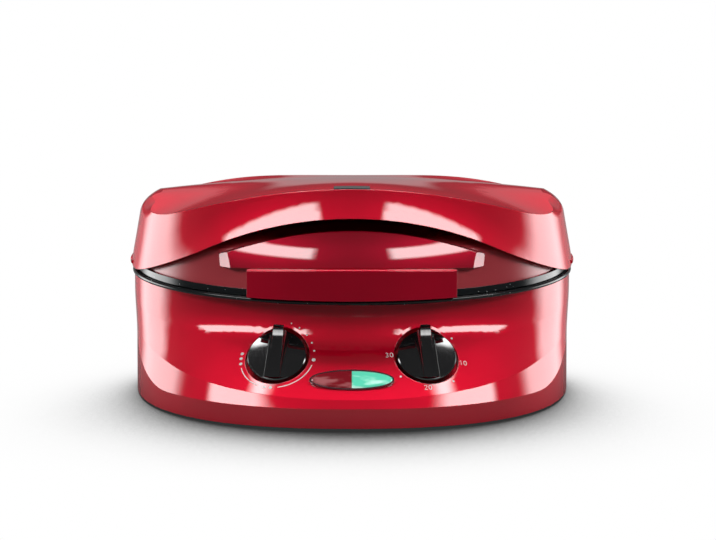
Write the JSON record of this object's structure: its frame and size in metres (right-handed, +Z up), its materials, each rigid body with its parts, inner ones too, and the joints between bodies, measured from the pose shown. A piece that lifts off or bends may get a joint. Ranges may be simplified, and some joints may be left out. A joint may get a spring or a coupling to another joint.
{
  "type": "electric pie maker",
  "caption": "Round countertop cooker with a stone in its base, a second heater in its hinged domed lid, an open visor front with a finger scoop, and two knobs on a sloping console.",
  "frame": {"origin": "on the worktop, under the axis of the round baking pan, which is also the middle of the overall length and width", "axes": "+Z up, the console faces -Y, the hinge is at +Y, +X is the right-hand side seen from the front"},
  "size_m": [0.3672, 0.424, 0.1907],
  "materials": {
    "red_enamel": "high gloss metallic red lacquer on heat-proof plastic",
    "red_plastic": "glossy red heat-proof plastic",
    "black_enamel": "gloss black enamel with fine pale specks",
    "grey_steel": "dull grey coated sheet steel",
    "black_rubber": "soft matte rubber",
    "black_gloss": "glossy black heat-proof plastic",
    "black_plastic": "matte black plastic",
    "stone": "unglazed fire clay",
    "heater_steel": "dark heat-tinted steel tube",
    "plain_steel": "plain sheet steel",
    "zinc_steel": "zinc-plated steel",
    "white_plastic": "off-white heat-proof plastic",
    "smoke_plastic": "glossy dark translucent rim",
    "red_lens": "clear dark red plastic",
    "green_lens": "clear lit green plastic",
    "lamp_glass": "small neon lamps",
    "brass": "plain sintered bushes",
    "pad": "felted mineral fibre",
    "slate_plate": "bare slate-grey satin plate"
  },
  "bodies": {
    "base": {"base_shell": "red_enamel", "bottom_plate": "grey_steel", "feet": "black_rubber", "bottom_screws": "zinc_steel", "base_pan": "black_enamel", "baking_stone": "stone", "lower_heater": "heater_steel", "lower_heater_clips": "plain_steel", "heat_shield": "plain_steel", "pan_bolt": "zinc_steel", "pan_nuts": "zinc_steel", "thermal_fuse": "white_plastic", "control_brackets": "plain_steel", "control_screws": "zinc_steel", "thermostat_body": "plain_steel", "timer_body": "white_plastic", "timer_bell": "zinc_steel", "indicator_bezel": "smoke_plastic", "indicator_lens_red": "red_lens", "indicator_lens_green": "green_lens", "lamp_holder": "white_plastic", "indicator_lamps": "lamp_glass", "cord_gland": "black_plastic", "terminal_block": "white_plastic", "hinge_bracket": "red_plastic", "hinge_screws_base": "zinc_steel", "hinge_pin": "zinc_steel"},
    "lid": {"lid_shell": "red_enamel", "lid_bowl": "black_enamel", "lid_skirt": "red_enamel", "upper_heater": "heater_steel", "upper_heater_clips": "plain_steel", "insulation_pad": "pad", "lid_screws": "zinc_steel", "front_block": "red_plastic", "block_screws": "zinc_steel", "finger_scoop": "red_plastic", "scoop_screws": "zinc_steel", "lid_badge": "slate_plate", "hinge_arm": "red_plastic", "hinge_bushes": "brass", "hinge_screws_lid": "zinc_steel"},
    "thermostat": {"thermostat_knob": "black_gloss", "thermostat_shaft": "zinc_steel"},
    "timer": {"timer_knob": "black_gloss", "timer_shaft": "zinc_steel"}
  },
  "joints": [
    {"name": "lid_hinge", "type": "hinge", "parent": "base", "child": "lid", "pos_m": [0, 0.203, 0.098], "axis": [-1, 0, 0], "range_deg": [0, 100]},
    {"name": "thermostat_turn", "type": "hinge", "parent": "base", "child": "thermostat", "pos_m": [-0.0602, -0.172, 0.0536], "axis": [0.1249, 0.7084, -0.6947], "range_deg": [0, 290]},
    {"name": "timer_turn", "type": "hinge", "parent": "base", "child": "timer", "pos_m": [0.0602, -0.172, 0.0536], "axis": [-0.1249, 0.7084, -0.6947], "range_deg": [0, 280]}
  ]
}
